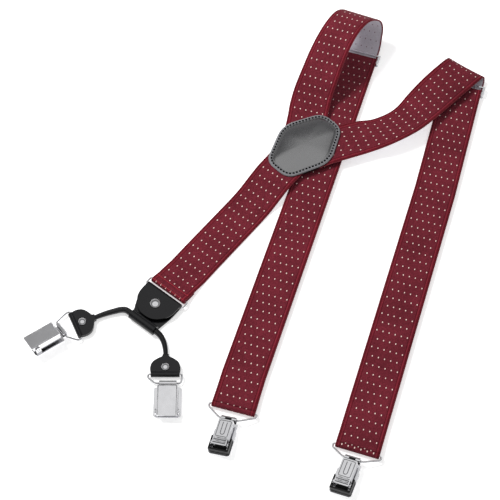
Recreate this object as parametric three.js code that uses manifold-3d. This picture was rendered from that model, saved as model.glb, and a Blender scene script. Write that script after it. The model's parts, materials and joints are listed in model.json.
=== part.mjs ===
// Y-back clip suspenders, laid out on a table with both shoulder straps looped back.
// Millimetres, +Z up. The webbing lies on z = 0, the yoke patch rides over the left strap.
import * as THREE from "three";
import { mergeVertices } from "three/addons/utils/BufferGeometryUtils.js";
import Module from "manifold-3d";

const wasm = await Module();
wasm.setup();

// ---------------------------------------------------------------- driving dimensions
const WEB_WIDTH = 35;
const WEB_THICK = 1.4;
const LEATHER = 1.15;
const GAP = 0.3;
const WIRE_R = 0.85;
const BORE_R = 1.25;
const WRAP_R = 1.9; // centre of the webbing as it turns round a wire
const RUN_Z = 2.3; // outer layer of a shoulder strap, between its adjuster and its clip
const RETURN_Z = 4.0; // the layer that comes back on top of it
const FLAT_Z = 0.7; // a single layer lying on the table
const PATCH_Z = 8.5; // strap ends sewn between the two leathers of the patch
const STEPS = 3; // spline steps between two stations
const LAYOUT_SHIFT = [1.4, 5.3]; // puts the middle of the layout on the origin

// ---------------------------------------------------------------- webbing stations
// Each station is x, y, z of the centre line, then the heading of the across direction
// in plan and its tilt, both in degrees.
const LEFT_RUN_HEADING = -17.8;
const LEFT_END_HEADING = -15.8;
const RIGHT_RUN_HEADING = -16.1;
const RIGHT_END_HEADING = -17.7;
const BACK_HEADING = -38.5;

const LEFT_LOOP = [
  [28, 82, PATCH_Z, -10, 0],
  [31, 97, PATCH_Z, -11, 0],
  [34, 112, PATCH_Z, -13, 0],
  [36, 124, 9, -16, -2],
  [40, 139, 12.2, -21, 2],
  [46, 153, 20.5, -26, 7],
  [52, 166, 28.5, -28, 11],
  [59, 179, 35.5, -29, 14],
  [67, 192, 38.5, -30, 14],
  [76, 204, 36.5, -30, 11],
  [85, 211.5, 28, -27, 7],
  [88, 212.5, 16, -22, 4],
  [87, 207, 6, -19, 1],
  [85, 198, 2.5, LEFT_RUN_HEADING, 0],
  [80, 180.5, RUN_Z, LEFT_RUN_HEADING, 0],
];
const LEFT_BAR = [-28.9, -159.6];

const RIGHT_LOOP = [
  [38, 77.5, PATCH_Z, -71, 0],
  [51, 83, PATCH_Z, -71, 0],
  [64, 87.5, PATCH_Z, -71, 0],
  [82, 93.5, PATCH_Z, -68, 2],
  [101, 99.5, 9, -61, 12],
  [120, 110, 10, -58, 13],
  [136, 126, 11, -53, 0],
  [150, 140, 12.5, -47, -8],
  [163, 152.5, 13.5, -44, -10],
  [173, 162.5, 12.5, -39, -8],
  [177.5, 167.5, 8, -31, -4],
  [177.5, 164.5, 3.8, -24, 0],
  [175, 156, RUN_Z, RIGHT_RUN_HEADING, 0],
  [171.5, 145.2, RUN_Z, RIGHT_RUN_HEADING, 0],
];
const RIGHT_BEND = [141.5, 41];
const RIGHT_BAR = [66.4, -193.9];

const BACK_RUN = [
  [20, 72.3, PATCH_Z, BACK_HEADING, 0],
  [11, 60.9, PATCH_Z, BACK_HEADING, 0],
  [5, 53.4, PATCH_Z, BACK_HEADING, 0],
  [-3, 43.4, 5.6, BACK_HEADING, 0],
  [-12, 32.2, 1.7, BACK_HEADING, 0],
  [-20, 22.2, FLAT_Z, BACK_HEADING, 0],
];
const RING_BAR = [-82, -54.7];
const RING_BAR_Z = 3.4;
const RING_SPAN = 6.4;

// ---------------------------------------------------------------- clips and cord
const CLIP_BAR_Z = 3.5;
const LEATHER_END_Z = 2.9;
const PIN_Z = 2.4;
// Half lengths of the bail's two wires, then the clip's widths and its stations along Y.
const FRONT_CLIP = {
  barHalf: 19.2, lowHalf: 8.3, knuckle: 12.6, lever: 12, wing: 18, wingTop: -9, base: 16,
  pinY: -22.6, leverTop: -3, leverEnd: -24.6, length: 30.2, deepGrip: true,
};
const BACK_CLIP = {
  barHalf: 13.6, lowHalf: 10.2, knuckle: 14, lever: 16.3, wing: 22, wingTop: -3, base: 18.3,
  pinY: -25, leverTop: -3.6, leverEnd: -29.6, length: 28.6, deepGrip: false,
};
// bar: middle of the upper wire in plan; drop: upper to lower wire; low: height of the lower wire
const CLIPS = [
  { name: "front_left", size: FRONT_CLIP, bar: LEFT_BAR, barZ: CLIP_BAR_Z,
    heading: LEFT_END_HEADING, yaw: -0.8, roll: 11, drop: 9.7, low: 4.1, shift: -0.7 },
  { name: "front_right", size: FRONT_CLIP, bar: RIGHT_BAR, barZ: CLIP_BAR_Z,
    heading: RIGHT_END_HEADING, yaw: -4.5, roll: 11, drop: 8.6, low: 4.1, shift: -1.4 },
  { name: "back_left", size: BACK_CLIP, bar: [-156.3, -86.6], barZ: LEATHER_END_Z,
    heading: -65.3, yaw: 9, roll: 18, drop: 12, low: 5.9, shift: 0.8 },
  { name: "back_right", size: BACK_CLIP, bar: [-83, -130], barZ: LEATHER_END_Z,
    heading: 0, yaw: 0, roll: 0, drop: 7.6, low: 2.4, shift: 2.4 },
];

const CORD_R = 2.6;
const CORD_BORE_R = 2.95;
const TUBE_R = 4.1;
const TUBE_Z = 4.2;
// Route of the leather cord, from the left leather end through the tube to the right one.
const CORD_ROUTE = [
  [-140.1, -79.2, 2.9], [-136, -77.3, 2.8], [-131, -75.4, 2.7], [-126, -74, 2.9],
  [-121, -73, 3.5], [-116.8, -73.4, 4.1], [-113.3, -75.6, TUBE_Z], [-108.2, -79.6, TUBE_Z],
  [-102.1, -84.4, TUBE_Z], [-97.2, -88.3, TUBE_Z], [-91.4, -93, TUBE_Z], [-87.6, -96.8, 3.9],
  [-85.2, -101.4, 3.3], [-83.8, -106.5, 2.8], [-83.1, -112.4, 2.9],
];

// ---------------------------------------------------------------- materials
function material(color, roughness, metalness) {
  return new THREE.MeshStandardMaterial({ color, roughness, metalness });
}

const webbing = material(0x7a2530, 0.85, 0);
const leather = material(0x1c1c1e, 0.45, 0);
const nickel = material(0xd6d7da, 0.18, 1);
const blackPlastic = material(0x101011, 0.5, 0);

// ---------------------------------------------------------------- solid helpers
function toSolid(geometry) {
  const plain = geometry.index ? geometry.toNonIndexed() : geometry.clone();
  plain.deleteAttribute("normal");
  plain.deleteAttribute("uv");
  const merged = mergeVertices(plain, 1e-4);
  return new wasm.Manifold(new wasm.Mesh({
    numProp: 3,
    vertProperties: new Float32Array(merged.attributes.position.array),
    triVerts: new Uint32Array(merged.index.array),
  }));
}

function toGeometry(solid) {
  const mesh = solid.getMesh();
  const geometry = new THREE.BufferGeometry();
  geometry.setAttribute("position", new THREE.BufferAttribute(mesh.vertProperties, 3));
  geometry.setIndex(new THREE.BufferAttribute(mesh.triVerts, 1));
  return geometry;
}

function box(x0, x1, y0, y1, z0, z1) {
  const geometry = new THREE.BoxGeometry(x1 - x0, y1 - y0, z1 - z0);
  return toSolid(geometry.translate((x0 + x1) / 2, (y0 + y1) / 2, (z0 + z1) / 2));
}

// Round bar along X, centred on x = 0.
function barAlongX(radius, length, y, z, sides = 20) {
  const geometry = new THREE.CylinderGeometry(radius, radius, length, sides);
  return toSolid(geometry.rotateZ(Math.PI / 2).translate(0, y, z));
}

function barAlongZ(radius, z0, z1, x, y, sides = 20) {
  const geometry = new THREE.CylinderGeometry(radius, radius, z1 - z0, sides);
  return toSolid(geometry.rotateX(Math.PI / 2).translate(x, y, (z0 + z1) / 2));
}

// Flat plate with a drawn outline, from z0 to z1.
function plate(shape, z0, z1, curveSegments = 6) {
  const geometry = new THREE.ExtrudeGeometry(shape, {
    depth: z1 - z0, bevelEnabled: false, curveSegments,
  });
  return toSolid(geometry.translate(0, 0, z0));
}

// Side profile drawn in Y and Z, extruded across X and centred on x = 0.
function profileAcross(shape, width, curveSegments = 6) {
  const geometry = new THREE.ExtrudeGeometry(shape, {
    depth: width, bevelEnabled: false, curveSegments,
  });
  const turn = new THREE.Matrix4().makeBasis(
    new THREE.Vector3(0, 1, 0), new THREE.Vector3(0, 0, 1), new THREE.Vector3(1, 0, 0));
  return toSolid(geometry.applyMatrix4(turn).translate(-width / 2, 0, 0));
}

// Outline through corners [x, y, radius], each corner rounded.
function roundedOutline(corners) {
  const shape = new THREE.Shape();
  const count = corners.length;
  corners.forEach(([x, y, radius], i) => {
    const here = new THREE.Vector2(x, y);
    const before = new THREE.Vector2(...corners[(i + count - 1) % count]).sub(here).setLength(radius);
    const after = new THREE.Vector2(...corners[(i + 1) % count]).sub(here).setLength(radius);
    const start = here.clone().add(before);
    const end = here.clone().add(after);
    if (i === 0) {
      shape.moveTo(start.x, start.y);
    } else {
      shape.lineTo(start.x, start.y);
    }
    shape.quadraticCurveTo(x, y, end.x, end.y);
  });
  shape.closePath();
  return shape;
}

function rectangle(x0, x1, y0, y1, radius) {
  return roundedOutline([[x0, y0, radius], [x1, y0, radius], [x1, y1, radius], [x0, y1, radius]]);
}

// Closed wire through its corners, bent to a small radius at each one.
function wireLoop(corners, bend, radius, sides = 10) {
  const path = [];
  corners.forEach((corner, i) => {
    const previous = corners[(i + corners.length - 1) % corners.length];
    const next = corners[(i + 1) % corners.length];
    const before = previous.clone().sub(corner).setLength(bend).add(corner);
    const after = next.clone().sub(corner).setLength(bend).add(corner);
    path.push(...new THREE.QuadraticBezierCurve3(before, corner, after).getPoints(4));
  });
  const up = new THREE.Vector3(0, 0, 1);
  const positions = [];
  const index = [];
  const count = path.length;
  path.forEach((point, i) => {
    const tangent = path[(i + 1) % count].clone().sub(path[(i + count - 1) % count]).normalize();
    const side = new THREE.Vector3().crossVectors(tangent, up).normalize();
    const lift = new THREE.Vector3().crossVectors(side, tangent);
    for (let k = 0; k < sides; k++) {
      const angle = (2 * Math.PI * k) / sides;
      const offset = side.clone().multiplyScalar(Math.cos(angle) * radius);
      offset.addScaledVector(lift, Math.sin(angle) * radius);
      positions.push(point.x + offset.x, point.y + offset.y, point.z + offset.z);
      const a = i * sides + k;
      const b = i * sides + ((k + 1) % sides);
      const c = ((i + 1) % count) * sides + ((k + 1) % sides);
      const d = ((i + 1) % count) * sides + k;
      index.push(a, c, b, a, d, c);
    }
  });
  const geometry = new THREE.BufferGeometry();
  geometry.setAttribute("position", new THREE.Float32BufferAttribute(positions, 3));
  geometry.setIndex(index);
  return geometry;
}

// ---------------------------------------------------------------- webbing helpers
function acrossVector(heading, tilt) {
  const h = THREE.MathUtils.degToRad(heading);
  const t = THREE.MathUtils.degToRad(tilt);
  return new THREE.Vector3(Math.cos(h) * Math.cos(t), Math.sin(h) * Math.cos(t), Math.sin(t));
}

// Direction of travel in plan: a quarter turn left of the across direction, times a sign.
function alongVector(heading, sign) {
  const h = THREE.MathUtils.degToRad(heading);
  return new THREE.Vector3(-Math.sin(h) * sign, Math.cos(h) * sign, 0);
}

// Catmull-Rom through rows of numbers, with reflected ends.
function smoothRows(rows, steps) {
  const reflect = (a, b) => a.map((v, k) => 2 * v - b[k]);
  const padded = [reflect(rows[0], rows[1]), ...rows, reflect(rows.at(-1), rows.at(-2))];
  const out = [];
  for (let i = 1; i < padded.length - 2; i++) {
    const [p0, p1, p2, p3] = padded.slice(i - 1, i + 3);
    for (let s = 0; s < steps; s++) {
      const t = s / steps;
      out.push(p1.map((v, k) => 0.5 * (2 * v + (p2[k] - p0[k]) * t
        + (2 * p0[k] - 5 * v + 4 * p2[k] - p3[k]) * t * t
        + (3 * v - p0[k] - 3 * p2[k] + p3[k]) * t * t * t)));
    }
  }
  out.push(rows.at(-1));
  return out;
}

function stationsFromRows(rows) {
  return smoothRows(rows, STEPS).map(([x, y, z, heading, tilt]) => ({
    at: new THREE.Vector3(x, y, z),
    across: acrossVector(heading, tilt),
  }));
}

// Stations beside a wire: [distance along the travel direction, height] pairs.
function stationsAlong(bar, heading, sign, pairs) {
  const along = alongVector(heading, sign);
  return pairs.map(([s, z]) => ({
    at: new THREE.Vector3(bar[0] + along.x * s, bar[1] + along.y * s, z),
    across: acrossVector(heading, 0),
  }));
}

// Half turn under, round and over a wire, then a short tail back.
function wrapPairs(barZ, tail) {
  const turn = [];
  for (let i = 0; i <= 8; i++) {
    const angle = (Math.PI * i) / 8;
    turn.push([WRAP_R * Math.sin(angle), barZ - WRAP_R * Math.cos(angle)]);
  }
  return [...turn, ...tail];
}

// Closed strip of webbing: a flat rectangular section carried along the stations.
function webbingStrip(stations) {
  const positions = [];
  const index = [];
  const last = stations.length - 1;
  stations.forEach(({ at, across }, i) => {
    const tangent = stations[Math.min(i + 1, last)].at.clone().sub(stations[Math.max(i - 1, 0)].at);
    const normal = new THREE.Vector3().crossVectors(across, tangent).normalize();
    const corners = [[-1, -1], [1, -1], [1, 1], [-1, 1]];
    corners.forEach(([a, n]) => {
      const p = at.clone().addScaledVector(across, (a * WEB_WIDTH) / 2);
      p.addScaledVector(normal, (n * WEB_THICK) / 2);
      positions.push(p.x, p.y, p.z);
    });
    if (i < last) {
      for (let k = 0; k < 4; k++) {
        const a = i * 4 + k;
        const b = i * 4 + ((k + 1) % 4);
        index.push(a, a + 4, b + 4, a, b + 4, b);
      }
    }
  });
  const end = last * 4;
  index.push(0, 1, 2, 0, 2, 3, end + 3, end + 2, end + 1, end + 3, end + 1, end);
  const geometry = new THREE.BufferGeometry();
  geometry.setAttribute("position", new THREE.Float32BufferAttribute(positions, 3));
  geometry.setIndex(index);
  return geometry;
}

// ---------------------------------------------------------------- scene graph
const suspenders = new THREE.Group();
suspenders.name = "suspenders";
suspenders.position.set(LAYOUT_SHIFT[0], LAYOUT_SHIFT[1], 0);

function addMesh(parent, name, shape, look) {
  const geometry = shape.isBufferGeometry ? shape : toGeometry(shape);
  const mesh = new THREE.Mesh(geometry, look);
  mesh.name = name;
  parent.add(mesh);
  return mesh;
}

// Group whose X runs across the strap, Y up the strap and Z out of the table.
function frameAt(x, y, z, heading, roll = 0) {
  const group = new THREE.Group();
  group.position.set(x, y, z);
  group.rotation.order = "ZYX";
  group.rotation.set(0, THREE.MathUtils.degToRad(-roll), THREE.MathUtils.degToRad(heading));
  suspenders.add(group);
  return group;
}

// ---------------------------------------------------------------- yoke patch
const PATCH_CENTRE = [31.3, 83.6];
const PATCH_HEADING = -43.5;

function patchOutline(inset) {
  const end = 12.6 - inset * 0.6;
  const side = 28.5 - inset;
  const half = 35.5 - inset;
  const soft = 9 - inset * 0.5;
  return roundedOutline([
    [-end, -half, soft], [end, -half, soft], [side, 2, 12],
    [end - 1, half, soft], [1 - end, half, soft], [-side, 2, 12],
  ]);
}

function buildPatch() {
  const group = frameAt(PATCH_CENTRE[0], PATCH_CENTRE[1], PATCH_Z, PATCH_HEADING);
  const half = WEB_THICK / 2 + GAP;
  addMesh(group, "patch_back_leather", plate(patchOutline(0.8), -half - 1.2, -half), leather);
  const front = plate(patchOutline(0), half, half + 1.2);
  const crown = plate(patchOutline(5), half + 1.1, half + 2);
  addMesh(group, "patch_front_leather", front.add(crown), leather);
}

// One side of the patch's long axis, so that the two shoulder straps meet in a mitre.
function besidePatchAxis(side) {
  const reach = 400;
  const geometry = new THREE.BoxGeometry(reach, reach, reach);
  geometry.translate((side * (reach - GAP)) / 2, 0, 0);
  geometry.rotateZ(THREE.MathUtils.degToRad(PATCH_HEADING));
  geometry.translate(PATCH_CENTRE[0], PATCH_CENTRE[1], 0);
  return toSolid(geometry);
}

function roundThePatch() {
  const solid = plate(patchOutline(-8), -4, 4);
  const turned = solid.rotate([0, 0, PATCH_HEADING]);
  return turned.translate([PATCH_CENTRE[0], PATCH_CENTRE[1], PATCH_Z]);
}

// ---------------------------------------------------------------- shoulder straps
const RETURN_START = 1.3;
const WRAP_TAIL = 1.0;

function clipEndPairs() {
  return [[-30, RUN_Z], [-16, RUN_Z], [-8, 1.9],
    ...wrapPairs(CLIP_BAR_Z, [[-WRAP_TAIL, CLIP_BAR_Z + WRAP_R - 0.05]])];
}

function buildShoulderStrap(name, rows, middle, bar, endHeading, side) {
  const stations = stationsFromRows(rows);
  stations.push(...middle);
  stations.push(...stationsAlong(bar, endHeading, -1, clipEndPairs()));
  const strip = toSolid(webbingStrip(stations));
  const wrongSide = roundThePatch().intersect(besidePatchAxis(-side));
  addMesh(suspenders, name, strip.subtract(wrongSide), webbing);
}

// The layer on top: from the clip's wire back up to the adjuster's bar, and over it.
function buildReturnLayer(name, bar, endHeading, middle, adjuster, runHeading) {
  const start = [[-RETURN_START, CLIP_BAR_Z + WRAP_R - 0.08], [-5, 4.9], [-11, 4.2], [-18, RETURN_Z]];
  const stations = stationsAlong(bar, endHeading, -1, start);
  stations.push(...middle);
  const finish = [[-16, RETURN_Z], [-9, 4.2], [-4, 5.0], [0, ADJUSTER_TOP_Z], [1.5, ADJUSTER_TOP_Z],
    [2.2, ADJUSTER_TOP_Z - 0.3], [2.5, ADJUSTER_TOP_Z - 1], [2.5, ADJUSTER_TOP_Z - 1.4]];
  stations.push(...stationsAlong(adjuster, runHeading, 1, finish));
  addMesh(suspenders, name, webbingStrip(stations), webbing);
}

// ---------------------------------------------------------------- adjusters
const ADJUSTER_TOP_Z = 5.1;
const LEFT_ADJUSTER = [80.9, 183.3];
const RIGHT_ADJUSTER = [172.3, 147.9];
const RAIL_INSIDE = 18.4;
const RAIL_OUTSIDE = 19.9;
const ADJUSTER_FOOT = -3;
const ADJUSTER_HEAD = 8.5;
const BAR_BOTTOM_Z = 3.3;
const BAR_THICK = 0.8;

function buildAdjuster(name, at, heading) {
  const group = frameAt(at[0], at[1], 0, heading);
  let frame = plate(rectangle(-RAIL_OUTSIDE, RAIL_OUTSIDE, ADJUSTER_FOOT, ADJUSTER_HEAD, 1.5), 0, 1.2, 3);
  for (const side of [-1, 1]) {
    const x = side * (RAIL_INSIDE + RAIL_OUTSIDE) / 2;
    const half = (RAIL_OUTSIDE - RAIL_INSIDE) / 2;
    frame = frame.add(box(x - half, x + half, ADJUSTER_FOOT + 1, ADJUSTER_HEAD - 1, 0.5, 4.6));
  }
  frame = frame.add(box(-RAIL_INSIDE - 1, RAIL_INSIDE + 1, ADJUSTER_HEAD - 2.4, ADJUSTER_HEAD - 1.2, 3.4, 4.4));
  addMesh(group, `adjuster_frame_${name}`, frame, nickel);
  const reach = RAIL_INSIDE - GAP;
  let bar = box(-reach, reach, -1.5, 1.2, BAR_BOTTOM_Z, BAR_BOTTOM_Z + BAR_THICK);
  const teeth = 12;
  for (let i = 0; i < teeth; i++) {
    const x = -reach + (2 * reach * (i + 0.5)) / teeth;
    bar = bar.subtract(box(x - 0.5, x + 0.5, 0.6, 2, BAR_BOTTOM_Z - 1, BAR_BOTTOM_Z + 2));
  }
  addMesh(group, `adjuster_bar_${name}`, bar, nickel);
}

// ---------------------------------------------------------------- back strap, ring and tab
const TAB_HALF = 17.6;
const TAB_WALL_R = BORE_R + LEATHER;
const TUBE_Y = -29.4;
const TUBE_SHIFT = 3;
const TUBE_LENGTH = 25;
const TAB_RIVET_Y = -11;
const RIVET_HOLE_R = 1.8;

// The strap goes over the wire and is folded back underneath itself.
function buildBackStrap() {
  const stations = stationsFromRows(BACK_RUN);
  const over = [];
  for (const [s, z] of wrapPairs(RING_BAR_Z, [])) {
    over.unshift([s, z]);
  }
  const approach = [[-40, FLAT_Z], [-24, FLAT_Z], [-18, 1.6], [-13, 2.7], [-8, 3.1], [-4, 4.3]];
  const tail = [[-2, RING_BAR_Z - WRAP_R], [-5, 1], [-11, FLAT_Z]];
  stations.push(...stationsAlong(RING_BAR, BACK_HEADING, -1, [...approach, ...over, ...tail]));
  addMesh(suspenders, "back_strap", webbingStrip(stations), webbing);
}

function buildRing() {
  const group = frameAt(RING_BAR[0], RING_BAR[1], RING_BAR_Z, BACK_HEADING);
  const half = 19.4;
  const corners = [[-half, -RING_SPAN], [half, -RING_SPAN], [half, 0], [-half, 0]];
  const points = corners.map(([x, y]) => new THREE.Vector3(x, y, 0));
  addMesh(group, "back_ring", wireLoop(points, 1.5, WIRE_R), nickel);
}

// Leather folded round the ring: a D in front, a longer tongue behind that ends in a tube.
function buildTab() {
  const along = alongVector(BACK_HEADING, -1);
  const group = frameAt(RING_BAR[0] + along.x * RING_SPAN, RING_BAR[1] + along.y * RING_SPAN,
    RING_BAR_Z, BACK_HEADING);
  const front = roundedOutline([
    [-TAB_HALF, 0, 1], [-TAB_HALF, -14, 7], [-7, -24.4, 6], [7, -24.4, 6], [TAB_HALF, -14, 7],
    [TAB_HALF, 0, 1],
  ].reverse());
  const tongue = roundedOutline([
    [-TAB_HALF, 0, 1], [-TAB_HALF, -12, 5], [TUBE_SHIFT - 12, TUBE_Y, 2],
    [TUBE_SHIFT + 12, TUBE_Y, 2], [TAB_HALF, -12, 5], [TAB_HALF, 0, 1],
  ].reverse());
  let tab = barAlongX(TAB_WALL_R, 2 * TAB_HALF, 0, 0);
  tab = tab.add(plate(front, BORE_R, TAB_WALL_R));
  tab = tab.add(plate(tongue, -TAB_WALL_R, -BORE_R));
  const tubeZ = TUBE_Z - RING_BAR_Z;
  const tube = barAlongX(TUBE_R, TUBE_LENGTH, TUBE_Y, tubeZ).translate([TUBE_SHIFT, 0, 0]);
  const bore = barAlongX(CORD_BORE_R, 60, TUBE_Y, tubeZ);
  tab = tab.add(tube).subtract(bore);
  tab = tab.subtract(barAlongX(BORE_R, 60, 0, 0));
  tab = tab.subtract(barAlongZ(RIVET_HOLE_R, -9, 9, 0, TAB_RIVET_Y));
  addMesh(group, "back_tab_leather", tab, leather);
  addMesh(group, "back_tab_rivet", rivet(TAB_WALL_R, 4.3, TAB_RIVET_Y), nickel);
}

// Domed rivet: cap above the leather, post through it and a flat tail below.
function rivet(halfThickness, capR, y) {
  const top = halfThickness + GAP;
  const profile = [[0, -top - 0.5], [3.2, -top - 0.5], [3.2, -top], [1.5, -top], [1.5, top], [capR, top]];
  for (let i = 1; i <= 5; i++) {
    const angle = (Math.PI / 2) * (i / 5);
    profile.push([capR * Math.cos(angle), top + 1.9 * Math.sin(angle)]);
  }
  profile[profile.length - 1][0] = 0;
  const points = profile.map(([r, z]) => new THREE.Vector2(r, z));
  const geometry = new THREE.LatheGeometry(points, 20);
  return toSolid(geometry.rotateX(Math.PI / 2).translate(0, y, 0));
}

// ---------------------------------------------------------------- leather cord and its ends
function buildCord() {
  const curve = new THREE.CatmullRomCurve3(CORD_ROUTE.map((p) => new THREE.Vector3(...p)));
  const section = new THREE.Shape();
  const sides = 10;
  for (let k = 0; k < sides; k++) {
    const angle = (2 * Math.PI * k) / sides;
    const x = CORD_R * Math.cos(angle);
    const y = CORD_R * Math.sin(angle);
    if (k === 0) {
      section.moveTo(x, y);
    } else {
      section.lineTo(x, y);
    }
  }
  section.closePath();
  const geometry = new THREE.ExtrudeGeometry(section, {
    steps: 32, bevelEnabled: false, extrudePath: curve, curveSegments: 1,
  });
  addMesh(suspenders, "leather_cord", toSolid(geometry), leather);
}

const END_LENGTH = 17;
const END_RIVET_Y = 5.7;

// Pear-shaped leather end, folded round the upper wire of a back clip and riveted.
function buildLeatherEnd(clip) {
  const group = frameAt(clip.bar[0], clip.bar[1], clip.barZ, clip.heading);
  const outline = roundedOutline([
    [-11.3, 0, 0.5], [11.3, 0, 0.5], [12.4, 4.5, 2.9], [10.8, 10.2, 2.7], [6, 13.6, 2.4],
    [2.7, 15, 0.8], [2.4, END_LENGTH, 0.4], [-2.4, END_LENGTH, 0.4], [-2.7, 15, 0.8],
    [-6, 13.6, 2.4], [-10.8, 10.2, 2.7], [-12.4, 4.5, 2.9],
  ]);
  const half = 1.6;
  let end = plate(outline, -half, half);
  end = end.add(barAlongX(TAB_WALL_R, 22.8, 0, 0)).subtract(barAlongX(BORE_R, 60, 0, 0));
  end = end.subtract(barAlongZ(RIVET_HOLE_R, -9, 9, 0, END_RIVET_Y));
  addMesh(group, `leather_end_${clip.name}`, end, leather);
  addMesh(group, `leather_end_rivet_${clip.name}`, rivet(half, 3.4, END_RIVET_Y), nickel);
}

// ---------------------------------------------------------------- clips
const BASE_BOTTOM = -2.2;
const BASE_TOP = -1.2;
const LEVER_BOTTOM = 4.8;
const LEVER_TOP = 5.7;
const LEVER_WALL_FOOT = 0.8;
const PIN_R = 0.85;
const PIN_BORE_R = 1.15;
const BAIL_SHOULDER = 3.2; // the side wires run straight this far, clear of what is wrapped

// Middle of the lower wire and the group that carries the clip's body.
function clipFrame(clip) {
  const along = alongVector(clip.heading, -1);
  const across = acrossVector(clip.heading, 0);
  const x = clip.bar[0] + along.x * clip.drop + across.x * clip.shift;
  const y = clip.bar[1] + along.y * clip.drop + across.y * clip.shift;
  return frameAt(x, y, clip.low, clip.heading + clip.yaw, clip.roll);
}

function buildBail(clip, body) {
  const { barHalf, lowHalf } = clip.size;
  const along = alongVector(clip.heading, -1);
  const across = acrossVector(clip.heading, 0);
  const beside = (offset, down) => new THREE.Vector3(clip.bar[0], clip.bar[1], clip.barZ)
    .addScaledVector(across, offset).addScaledVector(along, down);
  body.updateMatrix();
  const corners = [
    new THREE.Vector3(-lowHalf, 0, 0).applyMatrix4(body.matrix),
    new THREE.Vector3(lowHalf, 0, 0).applyMatrix4(body.matrix),
    beside(barHalf, BAIL_SHOULDER),
    beside(barHalf, 0),
    beside(-barHalf, 0),
    beside(-barHalf, BAIL_SHOULDER),
  ];
  addMesh(suspenders, `bail_${clip.name}`, wireLoop(corners, 1.5, WIRE_R), nickel);
}

// Stamped base: a knuckle round the wire, a plate with side wings and two ears for the pin.
function clipBase({ knuckle, lever, wing, wingTop, base: plateWidth, pinY, length }) {
  const profile = new THREE.Shape();
  const open = (5 * Math.PI) / 6;
  profile.moveTo(-4, BASE_BOTTOM);
  profile.lineTo(0, BASE_BOTTOM);
  profile.absarc(0, 0, -BASE_BOTTOM, -Math.PI / 2, open, false);
  profile.absarc(0, 0, -BASE_TOP, open, -Math.PI / 2, true);
  profile.lineTo(-4, BASE_TOP);
  profile.closePath();
  const half = plateWidth / 2;
  let base = profileAcross(profile, knuckle, 10);
  base = base.add(plate(rectangle(-half, half, -length, -2.8, 1), BASE_BOTTOM, BASE_TOP, 3));
  base = base.add(plate(rectangle(-wing / 2, wing / 2, 0.6 - length, wingTop, 1.5),
    BASE_BOTTOM, BASE_TOP, 3));
  for (const side of [-1, 1]) {
    const x = side * (lever / 2 + 0.8);
    const ear = barAlongX(2.1, 1, pinY, PIN_Z).add(box(-0.5, 0.5, pinY - 2.1, pinY + 2.1, -1.7, PIN_Z));
    base = base.add(ear.translate([x, 0, 0]));
  }
  return base.subtract(barAlongX(PIN_BORE_R, 60, pinY, PIN_Z, 16));
}

// Lever: a pressed channel. Its top plate has a turned-down wall on each side, the walls are
// thickened round the pin, and a nose bites into the grip.
function clipLever({ lever, pinY, leverTop, leverEnd }) {
  const half = lever / 2;
  let solid = plate(rectangle(-half, half, leverEnd, leverTop, 0.8), LEVER_BOTTOM, LEVER_TOP, 3);
  for (const side of [-1, 1]) {
    const x = side * (half - 0.35);
    const rear = box(-0.35, 0.35, pinY, leverTop - 0.9, LEVER_WALL_FOOT, 5);
    const front = box(-0.35, 0.35, leverEnd + 0.9, pinY + 1, PIN_Z, 5);
    solid = solid.add(rear.add(front).translate([x, 0, 0]));
    const cheek = barAlongX(2, 0.8, pinY, PIN_Z).add(box(-0.4, 0.4, pinY - 1.9, pinY + 1.9, PIN_Z, 5));
    solid = solid.add(cheek.translate([side * (half - 0.6), 0, 0]));
  }
  solid = solid.add(box(-half + 1, half - 1, pinY - 0.9, pinY + 0.9, PIN_Z - 2.1, 5));
  return solid.subtract(barAlongX(PIN_BORE_R, 60, pinY, PIN_Z, 16));
}

// Plastic grip on the base: a flat pad under the nose. The deep one has a raised lip and cheeks.
function clipGrip({ lever, pinY, length, deepGrip }) {
  const half = lever / 2 - 1.2;
  const end = 1.8 - length;
  const bottom = BASE_TOP + GAP;
  const pad = box(-half, half, end, pinY + 5, bottom, 0);
  if (!deepGrip) {
    return pad;
  }
  const outside = lever / 2 + 2.3;
  const inside = lever / 2 + 1.6;
  const lip = box(-outside, outside, end, end + 1.5, bottom, 3.3);
  const cheeks = [[-outside, -inside], [inside, outside]].map(([x0, x1]) => (
    box(x0, x1, end, pinY + 6, bottom, 3.3)
  ));
  return pad.add(lip).add(cheeks[0]).add(cheeks[1]);
}

function buildClip(clip) {
  const body = clipFrame(clip);
  buildBail(clip, body);
  addMesh(body, `clip_base_${clip.name}`, clipBase(clip.size), nickel);
  addMesh(body, `clip_grip_${clip.name}`, clipGrip(clip.size), blackPlastic);
  addMesh(body, `clip_lever_${clip.name}`, clipLever(clip.size), nickel);
  const pinLength = clip.size.lever + 2.6;
  addMesh(body, `clip_pin_${clip.name}`, barAlongX(PIN_R, pinLength, clip.size.pinY, PIN_Z, 12), nickel);
}

// ---------------------------------------------------------------- assembly
const rightMiddle = [-RUN_Z, -RETURN_Z].map((z) => ({
  at: new THREE.Vector3(RIGHT_BEND[0], RIGHT_BEND[1], -z),
  across: acrossVector((RIGHT_RUN_HEADING + RIGHT_END_HEADING) / 2, 0),
}));

buildPatch();
buildShoulderStrap("shoulder_strap_left", LEFT_LOOP, [], LEFT_BAR, LEFT_END_HEADING, -1);
buildShoulderStrap("shoulder_strap_right", RIGHT_LOOP, [rightMiddle[0]], RIGHT_BAR, RIGHT_END_HEADING, 1);
buildReturnLayer("strap_return_left", LEFT_BAR, LEFT_END_HEADING, [], LEFT_ADJUSTER, LEFT_RUN_HEADING);
buildReturnLayer("strap_return_right", RIGHT_BAR, RIGHT_END_HEADING, [rightMiddle[1]],
  RIGHT_ADJUSTER, RIGHT_RUN_HEADING);
buildAdjuster("left", LEFT_ADJUSTER, LEFT_RUN_HEADING);
buildAdjuster("right", RIGHT_ADJUSTER, RIGHT_RUN_HEADING);
buildBackStrap();
buildRing();
buildTab();
buildCord();
CLIPS.forEach(buildClip);
CLIPS.filter((clip) => clip.size === BACK_CLIP).forEach(buildLeatherEnd);

export default suspenders;
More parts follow.
